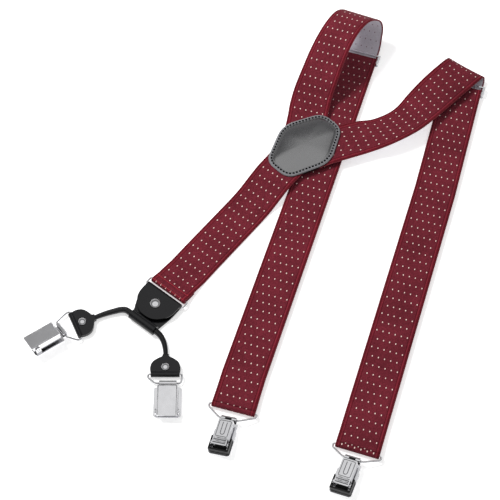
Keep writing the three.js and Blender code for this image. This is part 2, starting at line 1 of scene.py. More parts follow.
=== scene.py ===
"""Clip-on suspenders laid on a table: woven straps, leather yoke, cord and nickel clips."""
import json
import math

import bmesh
import bpy
from mathutils import Matrix, Vector


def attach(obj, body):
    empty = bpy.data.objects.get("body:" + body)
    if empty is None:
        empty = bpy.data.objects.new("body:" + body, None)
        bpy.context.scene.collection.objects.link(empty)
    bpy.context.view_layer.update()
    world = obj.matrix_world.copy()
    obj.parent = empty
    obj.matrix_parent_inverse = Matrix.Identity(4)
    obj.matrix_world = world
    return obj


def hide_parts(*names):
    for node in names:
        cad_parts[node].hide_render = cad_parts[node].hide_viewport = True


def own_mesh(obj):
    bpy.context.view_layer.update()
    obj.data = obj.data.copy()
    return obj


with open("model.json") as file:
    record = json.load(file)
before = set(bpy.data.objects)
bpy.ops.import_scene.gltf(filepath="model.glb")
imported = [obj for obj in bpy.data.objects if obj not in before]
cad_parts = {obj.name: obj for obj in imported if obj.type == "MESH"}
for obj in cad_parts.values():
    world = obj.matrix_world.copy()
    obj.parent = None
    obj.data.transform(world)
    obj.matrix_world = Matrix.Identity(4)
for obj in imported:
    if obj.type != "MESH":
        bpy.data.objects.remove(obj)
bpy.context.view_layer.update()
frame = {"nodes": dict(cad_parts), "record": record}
NODES = frame["nodes"]

# ------------------------------------------------------------------ layout
MM = 0.001
SHIFT = Vector((1.4, 5.3, 0.0))  # the layout is drawn around a point a little off the origin
WEB_WIDTH = 35.0
WEB_THICK = 1.4
UV_MM = 100.0  # millimetres in one unit of the webbing's UV map
CAMERA_TARGET = (-16.0, -15.0, 0.0)
CAMERA_PLACE = (-16.0, -593.5, 1002.0)
CAMERA_LENS = 100.0
SENSOR = 36.0


def place(point):
    """A layout point in millimetres, as a point of the shared frame in metres."""
    return (Vector(point) + SHIFT) * MM


# ------------------------------------------------------------------ camera
def make_camera():
    data = bpy.data.cameras.new("camera")
    data.lens = CAMERA_LENS
    data.sensor_width = SENSOR
    camera = bpy.data.objects.new("camera", data)
    bpy.context.scene.collection.objects.link(camera)
    camera.location = place(CAMERA_PLACE)
    look = place(CAMERA_TARGET) - camera.location
    camera.rotation_euler = look.to_track_quat("-Z", "Y").to_euler()
    bpy.context.scene.camera = camera


make_camera()


# ------------------------------------------------------------------ node helpers
class Shader:
    """A material's node tree, with one short call for each kind of node."""

    def __init__(self, name):
        self.material = bpy.data.materials.new(name)
        self.material.use_nodes = True
        self.tree = self.material.node_tree
        self.bsdf = self.tree.nodes["Principled BSDF"]

    def node(self, kind, **settings):
        made = self.tree.nodes.new(kind)
        for key, value in settings.items():
            setattr(made, key, value)
        return made

    def link(self, source, target):
        self.tree.links.new(source, target)

    def put(self, socket, value):
        """Link an output, or set a plain value."""
        if isinstance(value, bpy.types.NodeSocket):
            self.link(value, socket)
        else:
            socket.default_value = value

    def math(self, operation, a, b=0.0, c=0.0, clamp=False):
        made = self.node("ShaderNodeMath", operation=operation, use_clamp=clamp)
        for socket, value in zip(made.inputs, (a, b, c)):
            self.put(socket, value)
        return made.outputs[0]

    def mix(self, factor, a, b, blend="MIX"):
        made = self.node("ShaderNodeMix", data_type="RGBA", blend_type=blend)
        self.put(made.inputs[0], factor)
        for socket, value in ((made.inputs[6], a), (made.inputs[7], b)):
            self.put(socket, (*value, 1.0) if isinstance(value, tuple) else value)
        return made.outputs[2]

    def noise(self, scale, detail=4.0, roughness=0.6, vector=None):
        made = self.node("ShaderNodeTexNoise")
        made.inputs["Scale"].default_value = scale
        made.inputs["Detail"].default_value = detail
        made.inputs["Roughness"].default_value = roughness
        self.link(vector or self.object_space(), made.inputs["Vector"])
        return made.outputs["Fac"]

    def voronoi(self, scale):
        made = self.node("ShaderNodeTexVoronoi", feature="F1")
        made.inputs["Scale"].default_value = scale
        self.link(self.object_space(), made.inputs["Vector"])
        return made.outputs["Distance"]

    def object_space(self):
        return self.node("ShaderNodeTexCoord").outputs["Object"]

    def ramp(self, factor, stops):
        made = self.node("ShaderNodeValToRGB")
        elements = made.color_ramp.elements
        while len(elements) < len(stops):
            elements.new(0.5)
        for element, (position, colour) in zip(elements, stops):
            element.position = position
            element.color = (*colour, 1.0) if isinstance(colour, tuple) else (colour,) * 3 + (1.0,)
        self.put(made.inputs[0], factor)
        return made.outputs[0]

    def bump(self, height, distance, strength):
        made = self.node("ShaderNodeBump")
        made.inputs["Strength"].default_value = strength
        made.inputs["Distance"].default_value = distance
        self.link(height, made.inputs["Height"])
        return made.outputs["Normal"]

    def finish(self, **inputs):
        for name, value in inputs.items():
            if isinstance(value, tuple):
                value = (*value, 1.0)
            self.put(self.bsdf.inputs[name.replace("_", " ")], value)
        return self.material


# ------------------------------------------------------------------ materials
DOT_PITCH = 5.03  # mm between two dots of a row
DOT_ROWS = 15.74  # mm between two rows of the same kind
DOT_HALF = (0.47, 0.72)
DOT_FIELD = 13.6  # no dots further out than this
DOT_SIZE = 1.15  # in the units of dot_distance
HALO_SIZE = 2.1
DOT_SOFTNESS = 0.35


def webbing_coordinates(s):
    """Across and along in millimetres, from the strip's own coordinates."""
    made = s.node("ShaderNodeUVMap", uv_map="webbing")
    split = s.node("ShaderNodeSeparateXYZ")
    s.link(made.outputs[0], split.inputs[0])
    return s.math("MULTIPLY", split.outputs[0], UV_MM), s.math("MULTIPLY", split.outputs[1], UV_MM)


def dot_distance(s, across, along, phase):
    """Distance from the nearest dot of one kind of row, where 1 is the dot's own edge."""
    column = s.math("FRACT", s.math("ADD", s.math("DIVIDE", across, DOT_PITCH), 40.0 + phase))
    row = s.math("FRACT", s.math("ADD", s.math("DIVIDE", along, DOT_ROWS), 40.0 + phase))
    x = s.math("MULTIPLY", s.math("SUBTRACT", column, 0.5), DOT_PITCH / DOT_HALF[0])
    y = s.math("MULTIPLY", s.math("SUBTRACT", row, 0.5), DOT_ROWS / DOT_HALF[1])
    square = s.math("ADD", s.math("MULTIPLY", x, x), s.math("MULTIPLY", y, y))
    return s.math("SQRT", square)


def dots(s, across, along):
    """1 on a dot and 0 off it, and the same for the wider halo round it; on the face the halo is darkened
    as a painted shadow round each raised dot.
    """
    first = dot_distance(s, across, along, 0.0)
    second = dot_distance(s, across, along, 0.5)
    nearest = s.math("MINIMUM", first, second)
    inside = s.math("LESS_THAN", s.math("ABSOLUTE", across), DOT_FIELD)

    def disc(size):
        edge = s.math("DIVIDE", s.math("SUBTRACT", size, nearest), DOT_SOFTNESS, clamp=True)
        return s.math("MULTIPLY", edge, inside)

    return disc(DOT_SIZE), disc(HALO_SIZE)


def weave_height(s, across, along, warp, weft):
    """Fine interlaced threads: a rounded check of warp and weft."""
    u = s.math("SINE", s.math("MULTIPLY", across, 2 * math.pi / warp))
    v = s.math("SINE", s.math("MULTIPLY", along, 2 * math.pi / weft))
    return s.math("MULTIPLY_ADD", s.math("MULTIPLY", u, v), 0.5, 0.5)


def webbing_face():
    s = Shader("webbing_face")
    across, along = webbing_coordinates(s)
    dot, halo = dots(s, across, along)
    weave = weave_height(s, across, along, 0.84, 0.7)
    cloud = s.noise(40.0, 5.0, 0.65)
    fibre = s.noise(900.0, 2.0, 0.7)
    edge = s.math("DIVIDE", s.math("ABSOLUTE", across), WEB_WIDTH / 2)
    body = (0.155, 0.019, 0.030)
    # painted light and shade along the border: the groove line and the rounded outer band are darkened as
    # painted shade, and the raised rib between them is lightened as a painted highlight
    border = s.ramp(edge, [
        (0.0, body), (0.77, body), (0.80, (0.09, 0.006, 0.011)), (0.84, (0.21, 0.022, 0.035)),
        (0.875, (0.21, 0.022, 0.035)), (0.90, (0.11, 0.008, 0.014)), (0.975, (0.12, 0.009, 0.015)),
        (1.0, (0.27, 0.05, 0.065)),
    ])
    tone = s.ramp(cloud, [(0.3, 0.8), (0.7, 1.18)])
    threads = s.ramp(weave, [(0.0, 0.55), (1.0, 1.35)])
    grain = s.ramp(fibre, [(0.25, 0.6), (0.75, 1.35)])
    colour = s.mix(1.0, border, tone, "MULTIPLY")
    colour = s.mix(1.0, colour, threads, "MULTIPLY")
    colour = s.mix(1.0, colour, grain, "MULTIPLY")
    # painted shadow: a dark ring round each raised dot
    colour = s.mix(s.math("MULTIPLY", halo, 0.45), colour, (0.05, 0.004, 0.008))
    colour = s.mix(dot, colour, (0.90, 0.66, 0.60))
    height = s.math("ADD", s.math("MULTIPLY", weave, 0.5), s.math("MULTIPLY", fibre, 0.35))
    height = s.math("ADD", height, s.math("MULTIPLY", dot, 0.8))
    normal = s.bump(height, 0.00022, 0.7)
    s.bsdf.inputs["Specular IOR Level"].default_value = 0.12
    rough = s.math("MULTIPLY_ADD", cloud, 0.2, 0.62)
    return s.finish(Base_Color=colour, Roughness=rough, Normal=normal)


def webbing_lining():
    s = Shader("webbing_lining")
    across, along = webbing_coordinates(s)
    dot, halo = dots(s, across, along)
    weave = weave_height(s, across, along, 0.9, 0.75)
    fibre = s.noise(900.0, 2.0, 0.7)
    edge = s.math("DIVIDE", s.math("ABSOLUTE", across), WEB_WIDTH / 2)
    pale = (0.56, 0.53, 0.58)
    border = s.ramp(edge, [(0.0, pale), (0.9, pale), (0.94, (0.20, 0.05, 0.07)), (1.0, (0.14, 0.02, 0.03))])
    colour = s.mix(1.0, border, s.ramp(weave, [(0.0, 0.86), (1.0, 1.1)]), "MULTIPLY")
    colour = s.mix(1.0, colour, s.ramp(fibre, [(0.25, 0.88), (0.75, 1.1)]), "MULTIPLY")
    colour = s.mix(s.math("MULTIPLY", halo, 0.2), colour, (0.62, 0.56, 0.6))
    colour = s.mix(s.math("MULTIPLY", dot, 0.85), colour, (0.13, 0.06, 0.08))
    height = s.math("ADD", s.math("MULTIPLY", weave, 0.5), s.math("MULTIPLY", fibre, 0.3))
    normal = s.bump(height, 0.0002, 0.6)
    s.bsdf.inputs["Specular IOR Level"].default_value = 0.2
    return s.finish(Base_Color=colour, Roughness=0.8, Normal=normal)


LEATHER_GRAIN = 1500.0  # cells of the pore pattern per metre
PLAIN_GRAIN = 1200.0


def leather_material(name, colour, roughness, shine, ior=1.5):
    s = Shader(name)
    s.bsdf.inputs["IOR"].default_value = ior
    s.bsdf.inputs["Specular IOR Level"].default_value = shine
    pores = s.voronoi(LEATHER_GRAIN)
    wrinkle = s.noise(LEATHER_GRAIN * 0.35, 5.0, 0.65)
    cloud = s.noise(45.0, 3.0)
    height = s.math("ADD", s.math("MULTIPLY", pores, 0.6), s.math("MULTIPLY", wrinkle, 0.6))
    normal = s.bump(height, 0.00012, 0.3)
    tone = s.ramp(cloud, [(0.3, 0.75), (0.7, 1.3)])
    base = s.mix(1.0, colour, tone, "MULTIPLY")
    rough = s.math("MULTIPLY_ADD", cloud, 0.16, roughness - 0.08)
    return s.finish(Base_Color=base, Roughness=rough, Normal=normal)


def metal_material(name, colour, roughness):
    s = Shader(name)
    smudge = s.noise(60.0, 4.0)
    scratch_space = s.node("ShaderNodeMapping")
    scratch_space.inputs["Scale"].default_value = (1.0, 9.0, 1.0)
    s.link(s.object_space(), scratch_space.inputs["Vector"])
    scratches = s.noise(700.0, 3.0, 0.7, scratch_space.outputs[0])
    rough = s.math("MULTIPLY_ADD", smudge, 0.08, roughness - 0.04)
    tone = s.ramp(smudge, [(0.3, 0.86), (0.7, 1.0)])
    base = s.mix(1.0, colour, tone, "MULTIPLY")
    normal = s.bump(s.math("ADD", scratches, smudge), 0.00002, 0.1)
    s.bsdf.inputs["Metallic"].default_value = 1.0
    return s.finish(Base_Color=base, Roughness=rough, Normal=normal)


def plain_material(name, colour, roughness, shine=0.5):
    """Thread, moulded plastic, the patch rim's painted highlight and the pressed lines' painted shade: one
    colour broken up by a fine noise.
    """
    s = Shader(name)
    s.bsdf.inputs["Specular IOR Level"].default_value = shine
    grain = s.noise(PLAIN_GRAIN, 4.0, 0.6)
    base = s.mix(1.0, colour, s.ramp(grain, [(0.3, 0.82), (0.7, 1.15)]), "MULTIPLY")
    normal = s.bump(grain, 0.00008, 0.5)
    rough = s.math("MULTIPLY_ADD", grain, 0.15, roughness - 0.07)
    return s.finish(Base_Color=base, Roughness=rough, Normal=normal)


FACE = webbing_face()
LINING = webbing_lining()
PATCH_LEATHER = leather_material("patch_leather", (0.012, 0.012, 0.015), 0.26, 1.0, ior=2.2)
LEATHER = leather_material("leather", (0.004, 0.004, 0.005), 0.25, 0.4)
# painted highlight: grey that stands in for the light caught by the patch's bevelled rim
RIM_HIGHLIGHT = plain_material("painted_rim_highlight", (0.19, 0.19, 0.20), 0.45)
DARK_EDGE = plain_material("dark_edge", (0.012, 0.012, 0.013), 0.5, 0.3)
THREAD = plain_material("thread", (0.003, 0.003, 0.004), 0.6, 0.1)
RED_THREAD = plain_material("red_thread", (0.34, 0.02, 0.035), 0.6)
NICKEL = metal_material("nickel", (0.85, 0.85, 0.87), 0.13)
PLASTIC = plain_material("plastic", (0.004, 0.004, 0.004), 0.35, 0.3)
# painted shade: a dark grey for the shade in the clips' pressed grooves
GROOVE_SHADE = plain_material("painted_groove_shade", (0.09, 0.09, 0.095), 0.35)


# ------------------------------------------------------------------ mesh helpers
BEVEL_SEGMENTS = 2
BEVEL_ANGLE = 35.0  # degrees: a flatter edge is left alone


def new_object(name, bm, materials, smooth=True):
    mesh = bpy.data.meshes.new(name)
    bmesh.ops.recalc_face_normals(bm, faces=bm.faces)
    bm.to_mesh(mesh)
    bm.free()
    for material in materials:
        mesh.materials.append(material)
    for polygon in mesh.polygons:
        polygon.use_smooth = smooth
    made = bpy.data.objects.new(name, mesh)
    bpy.context.scene.collection.objects.link(made)
    return made


def settle(piece, body, slot, *replaced):
    """The piece rides on a body and stands for CAD nodes. The slot argument is not used."""
    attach(piece, body)
    if replaced:
        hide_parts(*replaced)


def bevel(piece, width):
    made = piece.modifiers.new("bevel", "BEVEL")
    made.width = width * MM
    made.segments = BEVEL_SEGMENTS
    made.limit_method = "ANGLE"
    made.angle_limit = math.radians(BEVEL_ANGLE)
    made.harden_normals = False


def heading_matrix(x, y, z, heading, roll=0.0):
    """Layout frame with X across the strap, Y up the strap and Z out of the table."""
    turn = Matrix.Rotation(math.radians(heading), 4, "Z") @ Matrix.Rotation(math.radians(-roll), 4, "Y")
    return Matrix.Translation(Vector((x, y, z))) @ turn


def rounded_outline(corners, steps=8):
    """Points round a polygon of (x, y, radius) corners, each corner rounded."""
    out = []
    count = len(corners)
    for i, (x, y, radius) in enumerate(corners):
        here = Vector((x, y))
        before = Vector(corners[i - 1][:2]) - here
        after = Vector(corners[(i + 1) % count][:2]) - here
        start = here + before.normalized() * radius
        end = here + after.normalized() * radius
        for step in range(steps + 1):
            t = step / steps
            out.append(start * (1 - t) ** 2 + here * 2 * t * (1 - t) + end * t * t)
    return out


def resample(points, spacing):
    """The same closed outline with evenly spaced points."""
    lengths = [0.0]
    for i, point in enumerate(points):
        lengths.append(lengths[-1] + (points[(i + 1) % len(points)] - point).length)
    count = max(8, round(lengths[-1] / spacing))
    out = []
    k = 0
    for i in range(count):
        target = lengths[-1] * i / count
        while lengths[k + 1] < target:
            k += 1
        span = max(lengths[k + 1] - lengths[k], 1e-9)
        t = (target - lengths[k]) / span
        out.append(points[k].lerp(points[(k + 1) % len(points)], t))
    return out


def inset_outline(points, distance):
    """Every point moved inwards, square to the outline. The outline runs anticlockwise."""
    out = []
    count = len(points)
    for i, point in enumerate(points):
        tangent = (points[(i + 1) % count] - points[i - 1]).normalized()
        out.append(point + Vector((-tangent.y, tangent.x)) * distance)
    return out


def shell_plate(name, outline, matrix, rings, centre_z, materials, ring_material):
    """Closed plate through rings of (inset, height) from its underside to its crown.

    ring_material gives the material index of each band, and the last one is the crown's."""
    bm = bmesh.new()
    loops = []
    for inset, z in rings:
        points = inset_outline(outline, inset)
        loops.append([bm.verts.new(matrix @ Vector((p.x, p.y, z))) for p in points])
    count = len(outline)
    centre = sum(outline, Vector((0.0, 0.0))) / count
    for band, (low, high) in enumerate(zip(loops, loops[1:])):
        for i in range(count):
            j = (i + 1) % count
            face = bm.faces.new((low[i], low[j], high[j], high[i]))
            face.material_index = ring_material[band]
    # crown: scaled copies of the last ring, up to a centre point
    last_points = inset_outline(outline, rings[-1][0])
    last_z = rings[-1][1]
    previous = loops[-1]
    steps = 6
    for step in range(1, steps):
        share = step / steps
        z = last_z + (centre_z - last_z) * (1 - (1 - share) ** 2)
        loop = []
        for p in last_points:
            q = p.lerp(centre, share)
            loop.append(bm.verts.new(matrix @ Vector((q.x, q.y, z))))
        for i in range(count):
            j = (i + 1) % count
            face = bm.faces.new((previous[i], previous[j], loop[j], loop[i]))
            face.material_index = ring_material[-1]
        previous = loop
    top = bm.verts.new(matrix @ Vector((centre.x, centre.y, centre_z)))
    for i in range(count):
        face = bm.faces.new((previous[i], previous[(i + 1) % count], top))
        face.material_index = ring_material[-1]
    bottom = bm.faces.new(list(reversed(loops[0])))
    bottom.material_index = ring_material[0]
    for vert in bm.verts:
        vert.co = place(vert.co)
    return new_object(name, bm, materials)


def stitches(name, points, matrix, z, length, radius, pitch, material, closed=True):
    """Short rounded threads laid end to end along an outline."""
    path = resample(points, pitch) if closed else points
    bm = bmesh.new()
    count = len(path)
    for i in range(count if closed else count - 1):
        a = path[i]
        b = path[(i + 1) % count]
        middle = (a + b) / 2
        direction = (b - a).normalized()
        turn = Matrix.Rotation(math.atan2(direction.y, direction.x), 4, "Z")
        local = Matrix.Translation((middle.x, middle.y, z)) @ turn
        shape = Matrix.Diagonal((length / 2, radius, radius * 0.7, 1.0))
        bmesh.ops.create_icosphere(bm, subdivisions=2, radius=1.0, matrix=matrix @ local @ shape)
    for vert in bm.verts:
        vert.co = place(vert.co)
    return new_object(name, bm, [material])


# ------------------------------------------------------------------ webbing
def across_vector(heading, tilt):
    h = math.radians(heading)
    t = math.radians(tilt)
    return Vector((math.cos(h) * math.cos(t), math.sin(h) * math.cos(t), math.sin(t)))


def along_vector(heading, sign):
    h = math.radians(heading)
    return Vector((-math.sin(h) * sign, math.cos(h) * sign, 0.0))


def smooth_rows(rows, steps):
    """Catmull-Rom through rows of numbers, with reflected ends."""
    first = [2 * a - b for a, b in zip(rows[0], rows[1])]
    last = [2 * a - b for a, b in zip(rows[-1], rows[-2])]
    padded = [first, *rows, last]
    out = []
    for i in range(1, len(padded) - 2):
        for step in range(steps):
            t = step / steps
            out.append([
                0.5 * (2 * b + (c - a) * t + (2 * a - 5 * b + 4 * c - d) * t * t
                       + (3 * b - a - 3 * c + d) * t ** 3)
                for a, b, c, d in zip(*padded[i - 1:i + 3])
            ])
    out.append(list(rows[-1]))
    return out


def from_rows(rows, steps=12):
    return [(Vector(r[:3]), across_vector(r[3], r[4])) for r in smooth_rows(rows, steps)]


def beside(bar, heading, sign, pairs):
    """Stations beside a wire: (distance along the strap, height) pairs."""
    along = along_vector(heading, sign)
    across = across_vector(heading, 0.0)
    return [(Vector((bar[0] + along.x * s, bar[1] + along.y * s, z)), across) for s, z in pairs]


def wrap_pairs(bar_z, radius=1.9, steps=16):
    return [
        (radius * math.sin(math.pi * i / steps), bar_z - radius * math.cos(math.pi * i / steps))
        for i in range(steps + 1)
    ]


def densify(stations, spacing=3.0):
    out = []
    for (a, across_a), (b, across_b) in zip(stations, stations[1:]):
        count = max(1, math.ceil((b - a).length / spacing))
        for k in range(count):
            t = k / count
            out.append((a.lerp(b, t), across_a.lerp(across_b, t).normalized()))
    out.append(stations[-1])
    return out


# Half of the woven section: distance in from the edge and height off the middle plane.
SECTION = [
    (0.0, 0.0), (0.08, 0.3), (0.3, 0.52), (0.8, 0.62), (1.5, 0.60), (1.9, 0.64), (2.4, 0.68),
    (2.8, 0.64), (3.2, 0.50), (3.5, 0.50), (3.9, 0.60), (5.0, 0.62), (8.5, 0.62), (12.0, 0.62),
    (15.5, 0.62),
]


def section_points():
    """The whole closed section as (across, height, side): side 1 is the face, -1 the lining."""
    left = [(-WEB_WIDTH / 2 + d, h) for d, h in SECTION]
    right = [(-a, h) for a, h in reversed(left)]
    top = left + right
    bottom = [(a, -h) for a, h in reversed(top[1:-1])]
    return top, bottom


def webbing(name, stations, flip=False):
    """A woven strip along its stations. The face is on the across x travel side, or flipped."""
    stations = densify(stations)
    top, bottom = section_points()
    ring = top + bottom
    face_count = len(top) - 1
    bm = bmesh.new()
    layer = bm.loops.layers.uv.new("webbing")
    distance = 0.0
    rows = []
    last = len(stations) - 1
    for i, (at, across) in enumerate(stations):
        if i:
            distance += (at - stations[i - 1][0]).length
        tangent = stations[min(i + 1, last)][0] - stations[max(i - 1, 0)][0]
        normal = across.cross(tangent).normalized()
        verts = []
        for a, h in ring:
            verts.append(bm.verts.new(place(at + across * a + normal * h)))
        rows.append((verts, distance))
    count = len(ring)
    for (verts_a, da), (verts_b, db) in zip(rows, rows[1:]):
        for k in range(count):
            j = (k + 1) % count
            face = bm.faces.new((verts_a[k], verts_b[k], verts_b[j], verts_a[j]))
            on_top = k < face_count
            face.material_index = 0 if on_top != flip else 1
            if k in (0, face_count - 1, face_count, count - 1):
                face.material_index = 0
            for loop, (u, v) in zip(face.loops, ((ring[k][0], da), (ring[k][0], db),
                                                 (ring[j][0], db), (ring[j][0], da))):
                loop[layer].uv = (u / UV_MM, v / UV_MM)
    for verts, v in (rows[0], rows[-1]):
        face = bm.faces.new(verts)
        face.material_index = 0
        for loop, (u, _) in zip(face.loops, ring):
            loop[layer].uv = (u / UV_MM, v / UV_MM)
    return new_object(name, bm, [FACE, LINING])


PATCH_Z = 8.5
RUN_Z = 2.3
RETURN_Z = 4.0
FLAT_Z = 0.7
CLIP_BAR_Z = 3.5
LEFT_RUN_HEADING = -17.8
LEFT_END_HEADING = -15.8
RIGHT_RUN_HEADING = -16.1
RIGHT_END_HEADING = -17.7
BACK_HEADING = -38.5
LEFT_BAR = (-28.9, -159.6)
RIGHT_BAR = (66.4, -193.9)
RIGHT_BEND = (141.5, 41.0)
LEFT_ADJUSTER = (80.9, 183.3)
RIGHT_ADJUSTER = (172.3, 147.9)
RING_BAR = (-82.0, -54.7)
RING_BAR_Z = 3.4
RETURN_END = 2.5  # the return layer's end, past the adjuster's middle
SEAM_PITCH = 1.64
SEAM_STITCHES = 20
SEAM_LENGTH = 1.75
SEAM_RADIUS = 0.42
SEAM_ROWS = (("near", -0.9, 5.85), ("far", 4.6, 4.95))  # name, place along the strap, height

# x, y, z of the centre line, then the across heading and its tilt, as in the CAD.
LEFT_LOOP = [
    (28, 82, PATCH_Z, -10, 0), (31, 97, PATCH_Z, -11, 0), (34, 112, PATCH_Z, -13, 0),
    (36, 124, 9, -16, -2), (40, 139, 12.2, -21, 2), (46, 153, 20.5, -26, 7),
    (52, 166, 28.5, -28, 11), (59, 179, 35.5, -29, 14), (67, 192, 38.5, -30, 14),
    (76, 204, 36.5, -30, 11), (85, 211.5, 28, -27, 7), (88, 212.5, 16, -22, 4),
    (87, 207, 6, -19, 1), (85, 198, 2.5, LEFT_RUN_HEADING, 0), (80, 180.5, RUN_Z, LEFT_RUN_HEADING, 0),
]
RIGHT_LOOP = [
    (38, 77.5, PATCH_Z, -71, 0), (51, 83, PATCH_Z, -71, 0), (64, 87.5, PATCH_Z, -71, 0),
    (82, 93.5, PATCH_Z, -68, 2), (101, 99.5, 9, -61, 12), (120, 110, 10, -58, 13),
    (136, 126, 11, -53, 0), (150, 140, 12.5, -47, -8), (163, 152.5, 13.5, -44, -10),
    (173, 162.5, 12.5, -39, -8), (177.5, 167.5, 8, -31, -4), (177.5, 164.5, 3.8, -24, 0),
    (175, 156, RUN_Z, RIGHT_RUN_HEADING, 0), (171.5, 145.2, RUN_Z, RIGHT_RUN_HEADING, 0),
]
BACK_RUN = [
    (20, 72.3, PATCH_Z, BACK_HEADING, 0), (11, 60.9, PATCH_Z, BACK_HEADING, 0),
    (5, 53.4, PATCH_Z, BACK_HEADING, 0), (-3, 43.4, 5.6, BACK_HEADING, 0),
    (-12, 32.2, 1.7, BACK_HEADING, 0), (-20, 22.2, FLAT_Z, BACK_HEADING, 0),
]


def make_straps():
    bend_heading = (RIGHT_RUN_HEADING + RIGHT_END_HEADING) / 2
    sides = (
        ("left", LEFT_LOOP, [], LEFT_BAR, LEFT_END_HEADING, LEFT_ADJUSTER, LEFT_RUN_HEADING),
        ("right", RIGHT_LOOP, [RIGHT_BEND], RIGHT_BAR, RIGHT_END_HEADING, RIGHT_ADJUSTER,
         RIGHT_RUN_HEADING),
    )
    for side, loop, bends, bar, end_heading, adjuster, run_heading in sides:
        outer = from_rows(loop)
        outer += [(Vector((x, y, RUN_Z)), across_vector(bend_heading, 0.0)) for x, y in bends]
        outer += beside(bar, end_heading, -1, [(-30, RUN_Z), (-16, RUN_Z), (-8, 1.9)])
        outer += beside(bar, end_heading, -1, wrap_pairs(CLIP_BAR_Z))
        outer += beside(bar, end_heading, -1, [(-1.0, 5.35)])
        settle(webbing(f"strap_{side}", outer), "straps", "webbing", f"shoulder_strap_{side}")
        back = beside(bar, end_heading, -1, [(-1.3, 5.35), (-3, 5.3), (-5, 4.95), (-8, 4.5),
                                             (-11, 4.2), (-18, RETURN_Z), (-30, RETURN_Z)])
        back += [(Vector((x, y, RETURN_Z)), across_vector(bend_heading, 0.0)) for x, y in bends]
        back += beside(adjuster, run_heading, 1, [
            (-16, RETURN_Z), (-9, 4.2), (-4, 5.0), (0, 5.1), (1.5, 5.1), (2.2, 4.8), (RETURN_END, 4.1),
            (RETURN_END, 3.7)])
        piece = webbing(f"strap_top_{side}", back)
        settle(piece, "straps", "webbing", f"strap_return_{side}")
        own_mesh(piece)
    back = from_rows(BACK_RUN)
    back += beside(RING_BAR, BACK_HEADING, -1, [
        (-40, FLAT_Z), (-24, FLAT_Z), (-18, 1.6), (-13, 2.7), (-8, 3.1), (-4, 4.3), (-2, 5.0)])
    back += beside(RING_BAR, BACK_HEADING, -1, wrap_pairs(RING_BAR_Z)[::-1])
    back += beside(RING_BAR, BACK_HEADING, -1, [(-2, 1.5), (-5, 1.0), (-11, FLAT_Z)])
    settle(webbing("strap_back", back, flip=True), "straps", "webbing", "back_strap")
    matrix = heading_matrix(*RING_BAR, 0, BACK_HEADING)
    for name, y, z in SEAM_ROWS:
        line = [Vector(((k - SEAM_STITCHES / 2) * SEAM_PITCH, y)) for k in range(SEAM_STITCHES + 1)]
        seam = stitches(f"back_seam_{name}", line, matrix, z, SEAM_LENGTH, SEAM_RADIUS, SEAM_PITCH,
                        RED_THREAD, closed=False)
        settle(seam, "straps", "webbing")


make_straps()


# ------------------------------------------------------------------ yoke patch
PATCH_CENTRE = (31.3, 83.6)
PATCH_HEADING = -43.5
PATCH_GAP = 0.3  # between the webbing and each leather
PATCH_CROWN = 4.3
OUTLINE_SPACING = 1.2
PATCH_STITCH_INSET = 2.3
PATCH_STITCH_RISE = 1.65
PATCH_STITCH_LENGTH = 2.2
PATCH_STITCH_RADIUS = 0.72
PATCH_STITCH_PITCH = 3.0


def patch_outline(inset=0.0):
    end = 12.6 - inset * 0.6
    side = 28.5 - inset
    half = 35.5 - inset
    soft = 9 - inset * 0.5
    return resample(rounded_outline([
        (-end, -half, soft), (end, -half, soft), (side, 2, 12),
        (end - 1, half, soft), (1 - end, half, soft), (-side, 2, 12),
    ]), OUTLINE_SPACING)


def make_patch():
    matrix = heading_matrix(*PATCH_CENTRE, PATCH_Z, PATCH_HEADING)
    half = WEB_THICK / 2 + PATCH_GAP
    # the side and top rim take the grey painted highlight, standing in for the light on the bevelled edge
    front = shell_plate(
        "patch_front", patch_outline(), matrix,
        [(0.3, half), (0.0, half + 0.25), (0.0, half + 0.7), (0.35, half + 1.1), (1.1, half + 1.4),
         (2.0, half + 1.45), (3.3, half + 1.35), (3.5, half + 1.15), (3.9, half + 1.2),
         (4.6, half + 1.6), (6.0, half + 2.0)],
        half + PATCH_CROWN, [PATCH_LEATHER, RIM_HIGHLIGHT, DARK_EDGE], [2, 1, 1, 1, 1, 1, 2, 0, 0, 0, 0])
    settle(front, "straps", "leather", "patch_front_leather")
    back = shell_plate(
        "patch_back", patch_outline(0.8), matrix,
        [(0.4, -half - 1.2), (0.0, -half - 0.9), (0.0, -half - 0.3), (0.4, -half)],
        -half, [LEATHER, DARK_EDGE], [1, 1, 1, 0])
    settle(back, "straps", "leather", "patch_back_leather")
    line = inset_outline(patch_outline(), PATCH_STITCH_INSET)
    thread = stitches("patch_stitches", line, matrix, half + PATCH_STITCH_RISE, PATCH_STITCH_LENGTH,
                      PATCH_STITCH_RADIUS, PATCH_STITCH_PITCH, THREAD)
    settle(thread, "straps", "leather")


make_patch()


# ------------------------------------------------------------------ cord
CORD_ROUTE = [
    (-140.1, -79.2, 2.9), (-136, -77.3, 2.8), (-131, -75.4, 2.7), (-126, -74, 2.9), (-121, -73, 3.5),
    (-116.8, -73.4, 4.1), (-113.3, -75.6, 4.2), (-108.2, -79.6, 4.2), (-102.1, -84.4, 4.2),
    (-97.2, -88.3, 4.2), (-91.4, -93, 4.2), (-87.6, -96.8, 3.9), (-85.2, -101.4, 3.3),
    (-83.8, -106.5, 2.8), (-83.1, -112.4, 2.9),
]
CORD_R = 2.6
CORD_TUCK = 1.3  # how far each end reaches on past its route
CORD_END_SHARE = 0.74  # radius at an end, as a share of the full radius
CORD_TAPER = 2.2  # the larger, the shorter the tapered ends
CORD_SIDES = 28
CORD_SEAM_SIDE = 9  # the side of the section that holds the seam groove
CORD_SEAM_WIDTH = 1.1  # in sides
CORD_SEAM_DEPTH = 0.5


